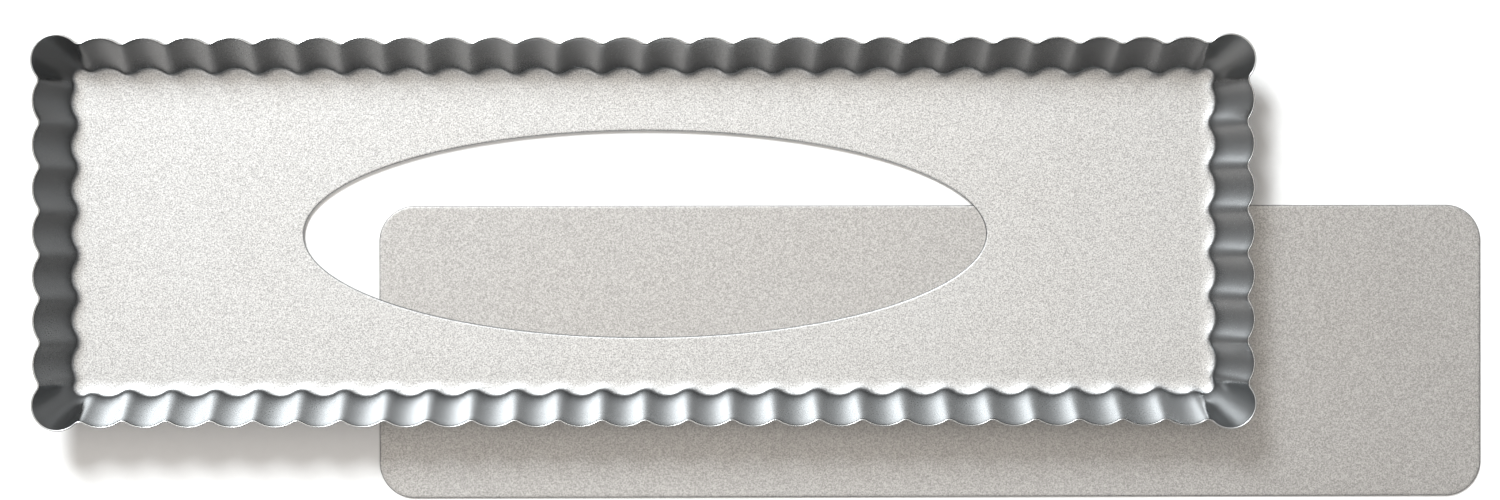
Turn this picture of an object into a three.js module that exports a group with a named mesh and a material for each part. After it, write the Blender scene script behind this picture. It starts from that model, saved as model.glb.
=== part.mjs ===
// An oblong fluted tart pan taken apart on a table: the pressed steel shell stands on its own loose bottom,
// which is drawn out from under it to one side. Units are millimetres, +Z is up and the table is z = 0.
// The shell is one sheet: a flat floor with an oval push-up opening, a small fillet, and a leaning wall
// pressed into round flutes, with a wider lobe at each corner. The loose bottom is a flat plate with rounded
// corners.
import * as THREE from "three";

// ---- Shell: driving dimensions ----
const SHEET = 0.6; // steel sheet, measured square to its faces
const SHELL_HEIGHT = 25.4;
const RIM_HALF_LENGTH = 177.35; // centre to the line that the flute crests touch, outer face
const RIM_HALF_WIDTH = 56.65;
const END_LEAN = 8.7; // how much further out the rim stands than the foot of the wall, at the short ends
const SIDE_LEAN = 8.1; // the same, along the long sides
const FOOT_FILLET = 3.5; // inner radius between floor and wall
const OPENING_HALF_LENGTH = 100.4; // oval opening in the floor
const OPENING_HALF_WIDTH = 30.4;
const OPENING_SHIFT_X = 0.2; // its centre from the shell's centre: the punch sits a touch off the middle
const OPENING_SHIFT_Y = -0.65;

// ---- Flutes ----
const LONG_FLUTES = 26; // on each long side, between the corner lobes
const SHORT_FLUTES = 7;
const LONG_PITCH = 12.61;
const SHORT_PITCH = 12.75;
// Radii of the outward crests, of the hollows between them, and of the corner lobes, on the outer face, and
// how far a lobe stands out past the line of the crests. A lobe is wide at the rim and tight at the floor.
const RIM_FLUTES = { crest: 10, hollow: 2, lobe: 7.6, lobeOutX: 0.45, lobeOutY: 0.95 };
const FOOT_FLUTES = { crest: 8.5, hollow: 3.5, lobe: 3.3, lobeOutX: -0.5, lobeOutY: -0.3 };

// ---- Loose bottom ----
const BOTTOM_LENGTH = 325;
const BOTTOM_WIDTH = 86;
const BOTTOM_THICKNESS = 0.8;
const BOTTOM_CORNER = 10.5;
const BOTTOM_SHIFT_X = 84.4; // its centre from the shell's centre, as it lies
const BOTTOM_SHIFT_Y = -35.3;
const RESTING_GAP = 0.3; // left between the loose bottom and the shell that stands on it

// ---- Facets ----
const CREST_SEGMENTS = 4;
const HOLLOW_SEGMENTS = 2;
const LOBE_SEGMENTS = 16;
const CORNER_SEGMENTS = 12;
const OPENING_SEGMENTS = 72;
const FILLET_STEPS = [0, 0.5, 1];

// ---- Worked out from the above ----
const leanAngle = Math.atan((END_LEAN + SIDE_LEAN) / 2 / SHELL_HEIGHT);
const sheetAcross = SHEET / Math.cos(leanAngle); // the wall's thickness measured level
const tangentShare = Math.tan((Math.PI / 2 - leanAngle) / 2); // a fillet's reach for each unit of its radius
const rim = { halfLength: RIM_HALF_LENGTH, halfWidth: RIM_HALF_WIDTH, ...RIM_FLUTES };
const foot = {
  halfLength: RIM_HALF_LENGTH - END_LEAN,
  halfWidth: RIM_HALF_WIDTH - SIDE_LEAN,
  ...FOOT_FLUTES,
};

// The outward circles of one outline, anticlockwise from the middle of the right-hand side. The outline runs
// round the outside of each of them and is filleted between neighbours by a hollow circle.
function crestCircles(level) {
  const circles = [];
  const sides = [
    { count: SHORT_FLUTES, pitch: SHORT_PITCH, reach: level.halfLength, turn: 0 },
    { count: LONG_FLUTES, pitch: LONG_PITCH, reach: level.halfWidth, turn: 1 },
    { count: SHORT_FLUTES, pitch: SHORT_PITCH, reach: level.halfLength, turn: 2 },
    { count: LONG_FLUTES, pitch: LONG_PITCH, reach: level.halfWidth, turn: 3 },
  ];
  const lobeX = level.halfLength + level.lobeOutX - level.lobe;
  const lobeY = level.halfWidth + level.lobeOutY - level.lobe;
  const lobeSigns = [
    [1, 1],
    [-1, 1],
    [-1, -1],
    [1, -1],
  ];
  sides.forEach(({ count, pitch, reach, turn }, side) => {
    for (let i = 0; i < count; i++) {
      const centre = new THREE.Vector2(reach - level.crest, (i - (count - 1) / 2) * pitch);
      centre.rotateAround(new THREE.Vector2(), (turn * Math.PI) / 2);
      circles.push({ centre, radius: level.crest, segments: CREST_SEGMENTS });
    }
    const [signX, signY] = lobeSigns[side];
    const centre = new THREE.Vector2(signX * lobeX, signY * lobeY);
    circles.push({ centre, radius: level.lobe, segments: LOBE_SEGMENTS });
  });
  return circles;
}

// The centre of the circle of radius r that touches circles a and b from outside the outline.
function hollowCentre(a, b, r) {
  const step = b.centre.clone().sub(a.centre);
  const gap = step.length();
  const fromA = a.radius + r;
  const fromB = b.radius + r;
  const along = (fromA ** 2 - fromB ** 2 + gap ** 2) / (2 * gap);
  const aside = Math.sqrt(fromA ** 2 - along ** 2);
  const unit = step.divideScalar(gap);
  const outward = new THREE.Vector2(unit.y, -unit.x);
  return a.centre.clone().addScaledVector(unit, along).addScaledVector(outward, aside);
}

const angleTo = (from, to) => Math.atan2(to.y - from.y, to.x - from.x);

// One closed fluted outline, moved inwards by inset. Every outline has the same number of points, so that
// point i of one stands over point i of another.
function outline(level, inset) {
  const circles = crestCircles(level);
  const next = (i) => circles[(i + 1) % circles.length];
  const hollows = circles.map((circle, i) => hollowCentre(circle, next(i), level.hollow));
  const points = [];
  circles.forEach(({ centre, radius, segments }, i) => {
    const before = hollows[(i + hollows.length - 1) % hollows.length];
    const after = hollows[i];
    const start = angleTo(centre, before);
    const end = angleTo(centre, after);
    const crest = new THREE.ArcCurve(centre.x, centre.y, radius - inset, start, end, false);
    points.push(...crest.getPoints(segments));
    const leave = angleTo(after, centre);
    const arrive = angleTo(after, next(i).centre);
    const hollow = new THREE.ArcCurve(after.x, after.y, level.hollow + inset, leave, arrive, true);
    points.push(...hollow.getPoints(HOLLOW_SEGMENTS).slice(1, -1));
  });
  return points;
}

// The wall's outline at a height over the underside, as points in space.
function wallRing(height, inset) {
  const low = outline(foot, inset);
  const high = outline(rim, inset);
  return low.map((point, i) => {
    const { x, y } = point.clone().lerp(high[i], height / SHELL_HEIGHT);
    return new THREE.Vector3(x, y, height);
  });
}

// The rings of the curve between a floor face and a wall face, from the floor up.
function filletRings(floorHeight, inset, radius) {
  const reach = radius * tangentShare;
  const corner = wallRing(floorHeight, inset);
  const onFloor = wallRing(floorHeight, inset + reach);
  const onWall = wallRing(floorHeight + reach * Math.cos(leanAngle), inset);
  return FILLET_STEPS.map((t) =>
    corner.map((point, i) => new THREE.QuadraticBezierCurve3(onFloor[i], point, onWall[i]).getPoint(t)),
  );
}

// The shell as one closed skin: rings from the floor's top face up the inside, over the rim and down the
// outside, a flat face with an oval hole within the first ring and within the last, and the oval's cut edge.
function shellGeometry() {
  const inner = filletRings(SHEET, sheetAcross, FOOT_FILLET);
  const outer = filletRings(0, 0, FOOT_FILLET + SHEET).reverse();
  const rings = [...inner, wallRing(SHELL_HEIGHT, sheetAcross), wallRing(SHELL_HEIGHT, 0), ...outer];
  const ovalCentre = [OPENING_SHIFT_X, OPENING_SHIFT_Y];
  const oval = new THREE.EllipseCurve(...ovalCentre, OPENING_HALF_LENGTH, OPENING_HALF_WIDTH);
  const ovalPoints = oval.getPoints(OPENING_SEGMENTS).slice(0, -1);
  const ringLength = rings[0].length;
  const positions = rings.flat().flatMap((p) => [p.x, p.y, p.z]);
  const faces = [];

  // The strip of faces between two rings.
  const side = (startA, startB, length) => {
    for (let i = 0; i < length; i++) {
      const j = (i + 1) % length;
      faces.push(startA + i, startA + j, startB + j, startA + i, startB + j, startB + i);
    }
  };
  for (let k = 0; k + 1 < rings.length; k++) side((k + 1) * ringLength, k * ringLength, ringLength);

  const ovalStart = (height) => {
    const start = positions.length / 3;
    ovalPoints.forEach((p) => positions.push(p.x, p.y, height));
    return start;
  };
  const flatFace = (ringStart, holeStart, facesUp) => {
    const ring = rings[ringStart / ringLength].map((p) => new THREE.Vector2(p.x, p.y));
    const triangles = THREE.ShapeUtils.triangulateShape(ring, [ovalPoints.map((p) => p.clone())]);
    const vertex = (i) => (i < ringLength ? ringStart + i : holeStart + i - ringLength);
    triangles.forEach(([a, b, c]) => faces.push(...(facesUp ? [a, b, c] : [c, b, a]).map(vertex)));
  };
  const topHole = ovalStart(SHEET);
  const underHole = ovalStart(0);
  flatFace(0, topHole, true);
  flatFace((rings.length - 1) * ringLength, underHole, false);
  side(topHole, underHole, ovalPoints.length);

  const geometry = new THREE.BufferGeometry();
  geometry.setAttribute("position", new THREE.Float32BufferAttribute(positions, 3));
  geometry.setIndex(faces);
  geometry.computeVertexNormals();
  return geometry;
}

function looseBottomGeometry() {
  const x = BOTTOM_LENGTH / 2;
  const y = BOTTOM_WIDTH / 2;
  const r = BOTTOM_CORNER;
  const shape = new THREE.Shape();
  shape.absarc(x - r, y - r, r, 0, Math.PI / 2);
  shape.absarc(-x + r, y - r, r, Math.PI / 2, Math.PI);
  shape.absarc(-x + r, -y + r, r, Math.PI, 1.5 * Math.PI);
  shape.absarc(x - r, -y + r, r, 1.5 * Math.PI, 2 * Math.PI);
  const settings = { depth: BOTTOM_THICKNESS, bevelEnabled: false, curveSegments: CORNER_SEGMENTS };
  return new THREE.ExtrudeGeometry(shape, settings);
}

const coating = new THREE.MeshStandardMaterial({ color: 0xa9abac, roughness: 0.35, metalness: 0.9 });
const plateCoating = new THREE.MeshStandardMaterial({ color: 0xb4b2ae, roughness: 0.45, metalness: 0.9 });

const shell = new THREE.Mesh(shellGeometry(), coating);
shell.name = "fluted_shell";
shell.position.z = BOTTOM_THICKNESS + RESTING_GAP;

const looseBottom = new THREE.Mesh(looseBottomGeometry(), plateCoating);
looseBottom.name = "loose_bottom";
looseBottom.position.set(BOTTOM_SHIFT_X, BOTTOM_SHIFT_Y, 0);

// The origin is the middle of the whole arrangement's footprint, on the table.
const tartPan = new THREE.Group();
tartPan.add(shell, looseBottom);
const middle = new THREE.Box3().setFromObject(tartPan).getCenter(new THREE.Vector3());
tartPan.position.set(-middle.x, -middle.y, 0);

export default tartPan;
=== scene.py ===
"""An oblong fluted tart pan taken apart: the pressed steel shell stands on its own loose bottom.

It is seen from above. Lengths are in metres, in the frame's own axes. The two pressings of the frame
are replaced by finer meshes.
"""

import cmath
import math

import bpy
import numpy as np
from mathutils import Matrix, Vector

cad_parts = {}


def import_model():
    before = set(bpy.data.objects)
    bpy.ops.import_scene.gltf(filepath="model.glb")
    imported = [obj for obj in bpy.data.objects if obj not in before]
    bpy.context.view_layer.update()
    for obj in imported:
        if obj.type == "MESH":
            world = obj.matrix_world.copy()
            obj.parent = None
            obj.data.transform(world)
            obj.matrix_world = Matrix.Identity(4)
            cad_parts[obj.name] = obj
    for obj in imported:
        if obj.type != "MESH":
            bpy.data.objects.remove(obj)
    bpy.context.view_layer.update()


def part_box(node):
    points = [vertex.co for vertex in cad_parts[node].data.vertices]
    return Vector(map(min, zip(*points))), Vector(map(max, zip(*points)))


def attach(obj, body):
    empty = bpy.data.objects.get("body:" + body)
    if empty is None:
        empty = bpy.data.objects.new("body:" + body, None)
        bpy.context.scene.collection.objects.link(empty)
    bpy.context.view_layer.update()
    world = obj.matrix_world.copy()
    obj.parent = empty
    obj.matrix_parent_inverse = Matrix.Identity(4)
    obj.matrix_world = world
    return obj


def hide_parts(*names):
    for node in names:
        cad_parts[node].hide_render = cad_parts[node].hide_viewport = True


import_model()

shell_low, shell_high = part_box("fluted_shell")
plate_low, plate_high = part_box("loose_bottom")
shell_centre = (shell_low + shell_high) / 2
plate_centre = (plate_low + plate_high) / 2

# ---- Shell ----
SHEET = 0.0006  # steel sheet
SHELL_HEIGHT = shell_high.z - shell_low.z
END_LEAN = 0.0087  # how much further out the rim stands than the wall's foot, at the short ends
SIDE_LEAN = 0.0081  # the same, along the long sides
FLOOR_EDGE = 0.0052  # from the foot's crests inwards to where the floor starts to curve up
WALL_EDGE = 0.0011  # from the foot up the wall to where the wall is straight
RIM_ROUND = 0.0003  # rounding of the two corners of the cut rim
OPENING_HALF_LENGTH = 0.1004
OPENING_HALF_WIDTH = 0.0304
OPENING_SHIFT = complex(0.0002, -0.00065)
OPENING_ROLLOVER = 0.0004  # the punch's rounding of the opening's top edge
OPENING_BURR = 0.0001  # the small rounding of its lower edge
OPENING_MARGIN = 0.0004  # from that rounding out to the floor's next ring

# ---- Flutes: crests per side, their pitch, and the outline at three levels ----
# crest, hollow and lobe are the radii of the outline's circles, lobe_out is how far a corner lobe
# stands out past the line of the crests, and spread scales the pitch. The floor's own outline, where
# it starts to curve up into the wall, is only faintly fluted.
LONG_FLUTES, LONG_PITCH = 26, 0.01261
SHORT_FLUTES, SHORT_PITCH = 7, 0.01275
RIM_FLUTES = {
    "crest": 0.010,
    "hollow": 0.002,
    "lobe": 0.0076,
    "lobe_out": complex(0.00045, 0.00095),
    "spread": 1,
}
FOOT_FLUTES = {
    "crest": 0.0085,
    "hollow": 0.0035,
    "lobe": 0.0033,
    "lobe_out": complex(-0.0005, -0.0003),
    "spread": 1,
}
FLOOR_FLUTES = {
    "crest": 0.02,
    "hollow": 0.03,
    "lobe": 0.0014,
    "lobe_out": complex(-0.0003, -0.0002),
    "spread": 0.97,
}

# ---- Coating: scales are in features to the metre, and roughness runs from 0 to 1 ----
GRAIN_SCALE = 2500
GRAIN_DETAIL = 2
GRAIN_ROUGHNESS = 0.6  # of the noise
GRAIN_DEPTH = 0.00002
GRAIN_GLOSS = 0.02  # how far the grain moves the coating's roughness, either way
DRAWN_RELIEF = 0.1  # the grain's strength in the drawn walls, where flat sheet has 1
DRIFT_SCALE = 28  # of the slow drift over the whole sheet
DRIFT_DETAIL = 3
DRIFT_GLOSS = 0.015
DRIFT_TONE = 0.02
NOISE_LIFT = 0.0002  # keeps the faces off the planes where noise fades
CORNER_ROUGHNESS = 0.35
CORNER_START = 0.005  # inside the line of the foot's crests, where a corner lobe's finish sets in
CORNER_WHOLE = 0.001  # and where it is complete
WALL_FACING = 0.5  # the most that a wall's normal points up or down, where 1 is straight
FLAT_FACING = 0.98  # the least that flat sheet's does
DRAWN_ABOVE = 0.01  # over the table; the rim is as smooth as the wall

# ---- Loose bottom ----
PLATE_CORNER = 0.0105
PLATE_TOP_ROUND = 0.00035
PLATE_UNDER_ROUND = 0.0001
PLATE_MARGIN = 0.001  # from the edge in to where the two faces are capped

# ---- Fineness of the meshes ----
CREST_STEPS = 12
HOLLOW_STEPS = 6
LOBE_STEPS = 26
FILLET_STEPS = 13
WALL_STEPS = 8
ROUND_STEPS = 5
FLOOR_STEPS = 4
FLOOR_LAST = 0.98  # how far out over the floor its last ring but one lies
CORNER_STEPS = 32

lean = math.atan((END_LEAN + SIDE_LEAN) / 2 / SHELL_HEIGHT)
sheet_across = SHEET / math.cos(lean)  # the wall's thickness measured level
shell_half = complex(shell_high.x - shell_low.x, shell_high.y - shell_low.y) / 2
plate_half = complex(plate_high.x - plate_low.x, plate_high.y - plate_low.y) / 2
rim_reach = shell_half - RIM_FLUTES["lobe_out"]
foot_reach = rim_reach - complex(END_LEAN, SIDE_LEAN)


# ---------------------------------------------------------------- outlines
def arc(centre, radius, start, sweep, steps, side):
    """Points of an arc and their normals, which face away from its centre if side is 1, else to it."""
    turns = [cmath.exp(1j * (start + sweep * i / steps)) for i in range(steps + 1)]
    return [centre + radius * t for t in turns], [side * t for t in turns]


def corners(reach):
    """The corners of a rectangle about the origin, anticlockwise from the one at reach."""
    return reach, -reach.conjugate(), -reach, reach.conjugate()


def crest_circles(reach, flutes):
    """Centre, radius and steps of a level's outward circles, anticlockwise from the right-hand end."""
    crest, lobe = flutes["crest"], flutes["lobe"]
    lobe_centres = corners(reach + flutes["lobe_out"] - complex(lobe, lobe))
    circles = []
    for turn, lobe_centre in enumerate(lobe_centres):
        if turn % 2:
            count, pitch, out = LONG_FLUTES, LONG_PITCH, reach.imag
        else:
            count, pitch, out = SHORT_FLUTES, SHORT_PITCH, reach.real
        for i in range(count):
            aside = (i - (count - 1) / 2) * pitch * flutes["spread"]
            circles.append((complex(out - crest, aside) * 1j**turn, crest, CREST_STEPS))
        circles.append((lobe_centre, lobe, LOBE_STEPS))
    return circles


def hollow_centre(a, b, radius):
    """The centre of the circle that touches circles a and b from outside the outline."""
    step = b[0] - a[0]
    gap = abs(step)
    from_a, from_b = a[1] + radius, b[1] + radius
    along = (from_a**2 - from_b**2 + gap**2) / (2 * gap)
    return a[0] + step / gap * complex(along, -math.sqrt(from_a**2 - along**2))


def fluted_outline(reach, flutes):
    """Complex points and outward normals of the outer face's closed outline at one level."""
    circles = crest_circles(reach, flutes)
    hollow = flutes["hollow"]
    pairs = zip(circles, circles[1:] + circles[:1])
    after = [hollow_centre(circle, following, hollow) for circle, following in pairs]
    points, normals = [], []
    for i, (centre, radius, steps) in enumerate(circles):
        start = cmath.phase(after[i - 1] - centre)
        sweep = (cmath.phase(after[i] - centre) - start) % math.tau
        p, n = arc(centre, radius, start, sweep, steps, 1)
        points += p
        normals += n
        following = circles[(i + 1) % len(circles)][0]
        leave = cmath.phase(centre - after[i])
        sweep = -((leave - cmath.phase(following - after[i])) % math.tau)
        p, n = arc(after[i], hollow, leave, sweep, HOLLOW_STEPS, -1)
        points += p[1:-1]
        normals += n[1:-1]
    return np.array(points), np.array(normals)


rim_points, rim_normals = fluted_outline(rim_reach, RIM_FLUTES)
foot_points, foot_normals = fluted_outline(foot_reach, FOOT_FLUTES)
floor_outline = fluted_outline(foot_reach - complex(FLOOR_EDGE, FLOOR_EDGE), FLOOR_FLUTES)[0]


def wall_ring(height, inset):
    """The wall's outline at a height over the underside, moved in by inset, with that height."""
    low = foot_points - inset * foot_normals
    high = rim_points - inset * rim_normals
    return low + (high - low) * height / SHELL_HEIGHT, height


# ---------------------------------------------------------------- meshes
def ring_mesh(name, rings, centre, closed):
    """A mesh of quads between rings of equal length.

    closed joins the last ring to the first. Without it, both are capped.
    """
    length = len(rings[0][0])
    coords = np.zeros((len(rings), length, 3))
    for row, (outline, height) in zip(coords, rings):
        row[:, 0] = outline.real + centre.x
        row[:, 1] = outline.imag + centre.y
        row[:, 2] = height + centre.z
    faces = []
    for k in range(len(rings) if closed else len(rings) - 1):
        a, b = k * length, (k + 1) % len(rings) * length
        for i in range(length):
            j = (i + 1) % length
            faces.append((a + i, a + j, b + j, b + i))
    if not closed:
        last = (len(rings) - 1) * length
        faces.append(tuple(range(length - 1, -1, -1)))
        faces.append(tuple(last + i for i in range(length)))
    mesh = bpy.data.meshes.new(name)
    mesh.from_pydata(coords.reshape(-1, 3).tolist(), [], faces)
    mesh.polygons.foreach_set("use_smooth", [True] * len(faces))
    mesh.update()
    piece = bpy.data.objects.new(name, mesh)
    bpy.context.scene.collection.objects.link(piece)
    return piece


def fillet_rings(floor_height, wall_height, inset):
    """Rings of the curve from the floor's outline out and up into a wall face."""
    corner = wall_ring(floor_height, inset)[0]
    on_wall = wall_ring(wall_height, inset)[0]
    rings = []
    for i in range(FILLET_STEPS + 1):
        t = i / FILLET_STEPS
        outline = (1 - t) ** 2 * floor_outline + 2 * t * (1 - t) * corner + t**2 * on_wall
        rings.append((outline, floor_height + t**2 * (wall_height - floor_height)))
    return rings


def oval_ring(offset):
    """The opening's outline, moved out by offset, its points facing those of the floor's outline."""
    along = floor_outline.real / floor_outline.real.max()
    across = floor_outline.imag / floor_outline.imag.max()
    angles = np.arctan2(across, along)
    normals = np.cos(angles) / OPENING_HALF_LENGTH + 1j * np.sin(angles) / OPENING_HALF_WIDTH
    points = OPENING_HALF_LENGTH * np.cos(angles) + 1j * OPENING_HALF_WIDTH * np.sin(angles)
    return OPENING_SHIFT + points + offset * normals / abs(normals)


def floor_rings(height, edge):
    """Flat rings from the opening's rounded edge out to the floor's outline, denser at both."""
    near_edge = oval_ring(edge + OPENING_MARGIN)
    shares = [i / FLOOR_STEPS for i in range(FLOOR_STEPS)] + [FLOOR_LAST]
    rings = [(oval_ring(edge), height)]
    return rings + [(near_edge + (floor_outline - near_edge) * share, height) for share in shares]


def opening_rings(flat_height, cut_height, radius):
    """The opening's edge, rounded over radius from its vertical cut to the flat face."""
    rings = []
    for i in range(ROUND_STEPS):
        turn = math.pi / 2 * (1 - i / ROUND_STEPS)
        height = flat_height + (cut_height - flat_height) * (1 - math.cos(turn))
        rings.append((oval_ring(radius * (1 - math.sin(turn))), height))
    return rings


def rim_rings():
    """The cut rim, from the inner wall to the outer: a narrow flat between two rounded corners."""
    rings = []
    for side in (0, 1):
        for i in range(ROUND_STEPS + 1):
            turn = math.pi / 2 * (i / ROUND_STEPS + side)
            drop = RIM_ROUND * (1 - math.sin(turn))
            inset = sheet_across - RIM_ROUND if side == 0 else RIM_ROUND
            rings.append(wall_ring(SHELL_HEIGHT - drop, inset + RIM_ROUND * math.cos(turn)))
    return rings


def wall_rings(low, high, inset):
    """The straight rings of a wall face, without the two at its ends."""
    heights = [low + (high - low) * i / WALL_STEPS for i in range(1, WALL_STEPS)]
    return [wall_ring(height, inset) for height in heights]


def fluted_shell():
    """The shell as one closed skin, from the opening's top edge over the rim and back underneath."""
    inner_foot = SHEET + WALL_EDGE * math.cos(lean)
    outer_foot = inner_foot - SHEET * math.sin(lean)
    rim_foot = SHELL_HEIGHT - RIM_ROUND
    rings = opening_rings(SHEET, SHEET - OPENING_ROLLOVER, OPENING_ROLLOVER)
    rings += floor_rings(SHEET, OPENING_ROLLOVER) + fillet_rings(SHEET, inner_foot, sheet_across)
    rings += wall_rings(inner_foot, rim_foot, sheet_across) + rim_rings()
    under = opening_rings(0, OPENING_BURR, OPENING_BURR)
    under += floor_rings(0, OPENING_BURR) + fillet_rings(0, outer_foot, 0)
    rings += (under + wall_rings(outer_foot, rim_foot, 0))[::-1]
    base = Vector((shell_centre.x, shell_centre.y, shell_low.z))
    return ring_mesh("fluted_shell_fine", rings, base, closed=True)


def rounded_rectangle(inset):
    """The loose bottom's outline, moved inwards by inset."""
    quarter = math.pi / 2
    points = []
    for turn, centre in enumerate(corners(plate_half - complex(PLATE_CORNER, PLATE_CORNER))):
        points += arc(centre, PLATE_CORNER - inset, quarter * turn, quarter, CORNER_STEPS, 1)[0]
    return np.array(points)


def loose_bottom():
    """The plate as one closed skin, from its underside over the rounded edges to its top face."""
    thickness = plate_high.z - plate_low.z
    rings = [(rounded_rectangle(PLATE_MARGIN), 0.0)]
    for i in range(ROUND_STEPS + 1):
        turn = math.pi / 2 * i / ROUND_STEPS
        inset = PLATE_UNDER_ROUND * (1 - math.sin(turn))
        rings.append((rounded_rectangle(inset), PLATE_UNDER_ROUND * (1 - math.cos(turn))))
    for i in range(ROUND_STEPS + 1):
        turn = math.pi / 2 * i / ROUND_STEPS
        inset = PLATE_TOP_ROUND * (1 - math.cos(turn))
        rings.append((rounded_rectangle(inset), thickness - PLATE_TOP_ROUND * (1 - math.sin(turn))))
    rings.append((rounded_rectangle(PLATE_MARGIN), thickness))
    under = Vector((plate_centre.x, plate_centre.y, plate_low.z))
    return ring_mesh("loose_bottom_fine", rings, under, closed=False)


# ---------------------------------------------------------------- materials
class Nodes:
    """A material's node tree, with short calls for adding and joining nodes."""

    def __init__(self, name):
        self.material = bpy.data.materials.new(name)
        self.material.use_nodes = True
        self.tree = self.material.node_tree
        self.shader = self.tree.nodes["Principled BSDF"]

    def add(self, kind, settings=(), **inputs):
        """A node of that kind; settings are its own properties, and inputs are values or sockets."""
        node = self.tree.nodes.new(kind)
        for key, value in dict(settings).items():
            setattr(node, key, value)
        for key, value in inputs.items():
            self.join(node.inputs[key.replace("_", " ")], value)
        return node

    def join(self, socket, value):
        """Links the socket to value where that is a socket too, else sets it."""
        if isinstance(value, bpy.types.NodeSocket):
            self.tree.links.new(value, socket)
        else:
            socket.default_value = value

    def place(self):
        """The object's own coordinates."""
        return self.add("ShaderNodeTexCoord").outputs["Object"]

    def remap(self, value, from_low, from_high, to_low=0, to_high=1):
        """value taken from one range to another, and held within its ends."""
        ends = {"From_Min": from_low, "From_Max": from_high, "To_Min": to_low, "To_Max": to_high}
        return self.add("ShaderNodeMapRange", Value=value, **ends).outputs["Result"]

    def split(self, vector):
        """The vector's components."""
        return self.add("ShaderNodeSeparateXYZ", Vector=vector).outputs

    def noise(self, scale, detail, roughness=0.5):
        """Noise over the object's own coordinates, from 0 to 1; scale is in features to the metre.

        It is lifted a little, because it fades in planes whose height is a whole number of features.
        """
        lifted = self.add("ShaderNodeVectorMath", {"operation": "ADD"})
        self.join(lifted.inputs[0], self.place())
        self.join(lifted.inputs[1], (0, 0, NOISE_LIFT))
        node = self.add("ShaderNodeTexNoise", Scale=scale, Detail=detail, Roughness=roughness)
        self.join(node.inputs["Vector"], lifted.outputs[0])
        return node.outputs["Fac"]

    def spread(self, value, low, high):
        """value, mostly between 0.3 and 0.7, stretched to run from low to high."""
        return self.remap(value, 0.3, 0.7, low, high)

    def maths(self, operation, a, b):
        node = self.add("ShaderNodeMath", {"operation": operation})
        self.join(node.inputs[0], a)
        self.join(node.inputs[1], b)
        return node.outputs[0]

    def shade(self, color, value):
        """The color, a value or a socket, scaled by value."""
        node = self.add("ShaderNodeVectorMath", {"operation": "SCALE"})
        self.join(node.inputs[0], color)
        self.join(node.inputs["Scale"], value)
        return node.outputs[0]

    def blend(self, share, low, high):
        """The color low where share is 0, high where it is 1."""
        node = self.add("ShaderNodeMixRGB", Fac=share, Color1=(*low, 1), Color2=(*high, 1))
        return node.outputs["Color"]


def corner_share(nodes, place):
    """1 in the shell's four corner lobes, 0 in the straight walls between them."""
    offset = nodes.add("ShaderNodeVectorMath", {"operation": "SUBTRACT"})
    nodes.join(offset.inputs[0], place)
    nodes.join(offset.inputs[1], shell_centre)
    parts = nodes.split(offset.outputs[0])
    share = 1.0
    for axis, reach in (("X", foot_reach.real), ("Y", foot_reach.imag)):
        far = nodes.maths("ABSOLUTE", parts[axis], 0)
        beyond = nodes.remap(far, reach - CORNER_START, reach - CORNER_WHOLE)
        share = nodes.maths("MULTIPLY", share, beyond)
    return share


def coating(name, flat_color, flat_roughness, drawn_painted_shade_color, drawn_roughness, contrast):
    """Satin metallic coating, grained on flat sheet and smoother on the drawn walls.

    The grain is in height, tone and gloss, and contrast is how strong it is in tone. Tone and gloss
    also drift slowly over the whole sheet, and the deeply drawn corner lobes are duller than the walls.
    Walls and rim get a darker, cooler colour than the flat sheet's: painted shade.
    """
    nodes = Nodes(name)
    grain = nodes.noise(GRAIN_SCALE, GRAIN_DETAIL, GRAIN_ROUGHNESS)
    drift = nodes.noise(DRIFT_SCALE, DRIFT_DETAIL)
    normal = nodes.add("ShaderNodeNewGeometry").outputs["Normal"]
    place = nodes.place()

    facing = nodes.maths("ABSOLUTE", nodes.split(normal)["Z"], 0)
    level = nodes.remap(facing, WALL_FACING, FLAT_FACING)
    low = nodes.remap(nodes.split(place)["Z"], DRAWN_ABOVE, DRAWN_ABOVE / 2)
    flat = nodes.maths("MULTIPLY", level, low)
    relief = nodes.remap(flat, 0, 1, DRAWN_RELIEF, 1)

    drawn = nodes.remap(corner_share(nodes, place), 0, 1, drawn_roughness, CORNER_ROUGHNESS)
    finish = nodes.remap(flat, 0, 1, drawn, flat_roughness)
    grain_gloss = nodes.spread(grain, -GRAIN_GLOSS, GRAIN_GLOSS)
    gloss = nodes.maths("ADD", grain_gloss, nodes.spread(drift, -DRIFT_GLOSS, DRIFT_GLOSS))
    speckle = nodes.maths("MULTIPLY", nodes.spread(grain, -contrast, contrast), relief)
    tone = nodes.maths("ADD", speckle, nodes.spread(drift, 1 - DRIFT_TONE, 1 + DRIFT_TONE))
    bump = nodes.add("ShaderNodeBump", Strength=relief, Distance=GRAIN_DEPTH, Height=grain)
    # Walls and rim take the darker, cooler drawn colour: painted shade and painted cool light, as walls
    # and flat sheet are one coating.
    color = nodes.blend(flat, drawn_painted_shade_color, flat_color)

    nodes.join(nodes.shader.inputs["Base Color"], nodes.shade(color, tone))
    nodes.join(nodes.shader.inputs["Roughness"], nodes.maths("ADD", gloss, finish))
    nodes.join(nodes.shader.inputs["Normal"], bump.outputs["Normal"])
    nodes.shader.inputs["Metallic"].default_value = 1.0
    return nodes.material


def table_top(color, roughness, specular):
    """Matte board with a barely visible grain."""
    nodes = Nodes("table_top")
    grain = nodes.noise(TABLE_GRAIN_SCALE, TABLE_GRAIN_DETAIL)
    tone = nodes.spread(grain, 1 - TABLE_GRAIN, 1 + TABLE_GRAIN)
    nodes.join(nodes.shader.inputs["Base Color"], nodes.shade(color, tone))
    nodes.shader.inputs["Roughness"].default_value = roughness
    nodes.shader.inputs["Specular IOR Level"].default_value = specular
    return nodes.material


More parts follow.
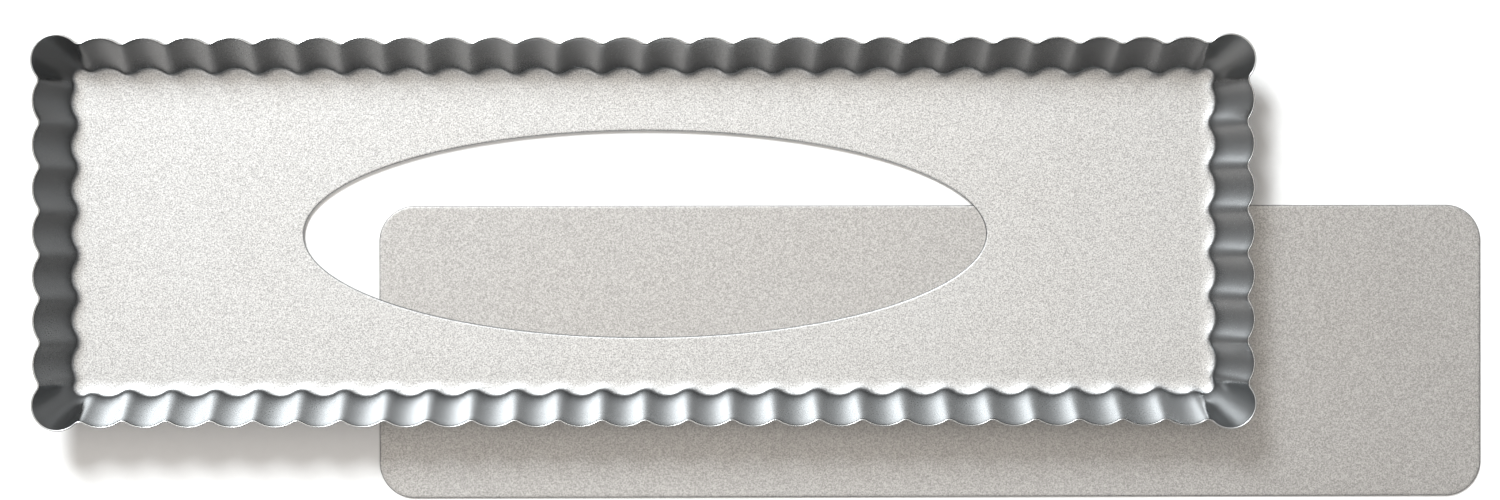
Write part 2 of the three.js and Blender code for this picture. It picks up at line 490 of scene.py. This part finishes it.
# ---------------------------------------------------------------- pieces
shell = fluted_shell()
shell_satin = coating(
    "shell_satin",
    flat_color=(0.396, 0.40, 0.404),
    flat_roughness=0.44,
    # Darker and cooler than flat_color: painted shade on the walls and rim.
    drawn_painted_shade_color=(0.358, 0.366, 0.371),
    drawn_roughness=0.26,
    contrast=0.42,
)
shell.data.materials.append(shell_satin)
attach(shell, "shell")
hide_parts("fluted_shell")

plate = loose_bottom()
bottom_satin = coating(
    "bottom_satin",
    flat_color=(0.338, 0.335, 0.332),
    flat_roughness=0.46,
    # The same as flat_color: the plate has no painted shade.
    drawn_painted_shade_color=(0.338, 0.335, 0.332),
    drawn_roughness=0.30,
    contrast=0.35,
)
plate.data.materials.append(bottom_satin)
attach(plate, "loose_bottom")
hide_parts("loose_bottom")

# ---------------------------------------------------------------- stage
TABLE_HALF = 20.0
TABLE_TOP = -0.00005  # just clear of the underside of the loose bottom
TABLE_GRAIN_SCALE = 400  # features to the metre
TABLE_GRAIN_DETAIL = 3
TABLE_GRAIN = 0.01  # how far it moves the tone, either way
CAMERA_LENS = 130.96  # millimetres, with the sensor's width
CAMERA_SENSOR = 36.0
CAMERA_PLACE = (-0.0061, 0.0038, 1.608)  # from the table under the shell's centre
CAMERA_AIM = (0.0310, -0.0054, 0)
CAMERA_UP = (0.0014, 1, 0)


def table():
    """One large white square for the pan to lie on."""
    mesh = bpy.data.meshes.new("table")
    square = corners(complex(-TABLE_HALF, -TABLE_HALF))
    mesh.from_pydata([(c.real, c.imag, TABLE_TOP) for c in square], [], [(0, 1, 2, 3)])
    mesh.materials.append(table_top(color=(0.93, 0.93, 0.93), roughness=0.9, specular=0.2))
    obj = bpy.data.objects.new("table", mesh)
    bpy.context.scene.collection.objects.link(obj)


def softbox(name, direction, distance, width, height, power, color):
    """A rectangular light at a distance from the shell's centre, facing it."""
    data = bpy.data.lights.new(name, "AREA")
    data.shape = "RECTANGLE"
    data.size = width
    data.size_y = height
    data.energy = power
    data.color = color
    light = bpy.data.objects.new(name, data)
    back = Vector(direction).normalized()
    light.location = shell_centre + back * distance
    light.rotation_euler = back.to_track_quat("Z", "Y").to_euler()
    bpy.context.scene.collection.objects.link(light)


def world(color, strength):
    """Even light from all around."""
    bpy.context.scene.world = bpy.data.worlds.new("world")
    bpy.context.scene.world.use_nodes = True
    background = bpy.context.scene.world.node_tree.nodes["Background"]
    background.inputs["Color"].default_value = (*color, 1)
    background.inputs["Strength"].default_value = strength


def from_shell(offset):
    """The point that far from the table under the shell's centre."""
    x, y, z = offset
    return Vector((shell_centre.x + x, shell_centre.y + y, z))


def camera():
    """Nearly straight above the shell, aimed between it and the drawn-out loose bottom."""
    data = bpy.data.cameras.new("camera")
    data.lens = CAMERA_LENS
    data.sensor_width = CAMERA_SENSOR
    obj = bpy.data.objects.new("camera", data)
    place = from_shell(CAMERA_PLACE)
    ahead = (from_shell(CAMERA_AIM) - place).normalized()
    right = ahead.cross(Vector(CAMERA_UP)).normalized()
    up = right.cross(ahead)
    obj.matrix_world = Matrix.Translation(place) @ Matrix((right, up, -ahead)).transposed().to_4x4()
    bpy.context.scene.collection.objects.link(obj)
    bpy.context.scene.camera = obj


table()
softbox(
    "key",
    direction=(-0.256, 0.482, 0.838),
    distance=4.0,
    width=0.8,
    height=1.3,
    power=170,
    color=(0.95, 0.985, 1.0),
)
softbox(
    "fill",
    direction=(-0.55, -0.65, 1.0),
    distance=3.0,
    width=1.6,
    height=1.6,
    power=21,
    color=(1.0, 0.96, 0.92),
)
softbox(
    "overhead",
    direction=(0.02, 0.05, 1),
    distance=3.0,
    width=1.6,
    height=1.6,
    power=21,
    color=(1.0, 0.92, 0.82),
)
softbox(
    "side",
    direction=(0.8, 0.3, 1),
    distance=3.0,
    width=1.6,
    height=1.6,
    power=6,
    color=(0.95, 0.98, 1.0),
)
world(color=(1, 0.98, 0.98), strength=0.15)
camera()
bpy.context.scene.view_settings.view_transform = "Standard"
